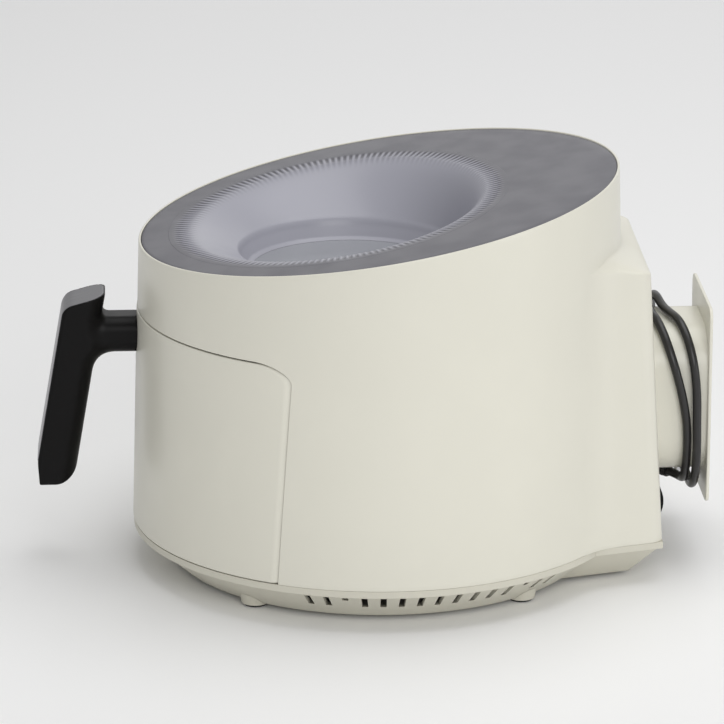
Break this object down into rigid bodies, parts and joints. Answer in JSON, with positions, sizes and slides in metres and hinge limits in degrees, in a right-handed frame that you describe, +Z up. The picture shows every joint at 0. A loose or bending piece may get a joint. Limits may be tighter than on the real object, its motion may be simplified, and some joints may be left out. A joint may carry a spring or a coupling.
{
  "type": "drawer hot-air fryer",
  "caption": "Round tapered hot-air fryer with a sloping windowed top, a pull-out pot drawer with a hooked handle, a vented base on feet and a rear cord spool.",
  "frame": {"origin": "centre of the footprint box of the object without its cord, on the table", "axes": "+Z up, -Y towards the handle and the drawer's way out, +X to the right of someone behind the object looking along -Y"},
  "size_m": [0.3, 0.4052, 0.245],
  "materials": {
    "body_plastic": "satin-gloss moulded cream plastic",
    "handle_plastic": "fine satin black",
    "handle_trim": "dark brushed metal",
    "top_plate": "smooth dark grey gloss",
    "bowl_plastic": "silver-grey satin gloss",
    "glass": "clear",
    "rubber": "matte",
    "cord_rubber": "semi-gloss sheath",
    "screw_steel": "plated",
    "sheet_steel": "plain sheet",
    "reflector": "bright sheet",
    "heater_tube": "heat-darkened sheath",
    "lamination": "laminations and windings",
    "circuit_board": "green board",
    "component": "moulded",
    "ceramic": "unglazed",
    "nonstick": "dark non-stick coating"
  },
  "bodies": {
    "housing": {"body_shell": "body_plastic", "rear_cover": "body_plastic", "rear_cover_screws": "screw_steel", "exhaust_grille": "handle_plastic", "cord_spool": "body_plastic", "spool_flange": "body_plastic", "spool_screws": "screw_steel", "base_pan": "body_plastic", "feet": "body_plastic", "foot_pads": "rubber", "base_screws": "screw_steel", "top_panel": "top_plate", "window_funnel": "bowl_plastic", "window_pane": "glass", "window_gasket": "rubber", "pane_clamp_ring": "sheet_steel", "clamp_screws": "screw_steel", "inner_pane": "glass", "heat_reflector": "reflector", "touch_board": "circuit_board", "chassis": "sheet_steel", "drawer_rails": "sheet_steel", "cavity_liner": "sheet_steel", "heater": "heater_tube", "heater_clips": "sheet_steel", "blower_scroll": "sheet_steel", "motor_bracket": "sheet_steel", "motor_can": "sheet_steel", "motor_stator": "lamination", "motor_bearings": "screw_steel", "thermal_fuse": "ceramic", "temperature_sensor": "sheet_steel", "power_board": "circuit_board", "power_components": "component", "terminal_block": "ceramic", "reed_switch": "component", "strain_relief": "cord_rubber", "cord": "cord_rubber", "plug_body": "cord_rubber", "plug_pins": "screw_steel"},
    "drawer": {"drawer_front": "body_plastic", "drawer_backplate": "component", "pot": "nonstick", "handle_bracket": "sheet_steel", "handle_body": "handle_plastic", "handle_inlay": "handle_trim", "handle_screws": "screw_steel", "bracket_rivets": "screw_steel", "door_magnet": "component"},
    "tray": {"crisper_tray": "nonstick", "tray_bumpers": "rubber", "tray_tab": "sheet_steel"},
    "fan_rotor": {"motor_shaft": "screw_steel", "hot_impeller": "reflector", "cooling_fan": "component", "motor_rotor": "lamination", "impeller_nut": "screw_steel"}
  },
  "joints": [
    {"name": "drawer_slide", "type": "slide", "parent": "housing", "child": "drawer", "axis": [0, -1, 0], "range_m": [0, 0.235]},
    {"name": "tray_lift", "type": "slide", "parent": "drawer", "child": "tray", "axis": [0, 0, 1], "range_m": [0, 0.095]},
    {"name": "fan_spin", "type": "hinge", "parent": "housing", "child": "fan_rotor", "pos_m": [0, 0.12568, 0.1578], "axis": [0, 1, 0], "continuous": true}
  ]
}
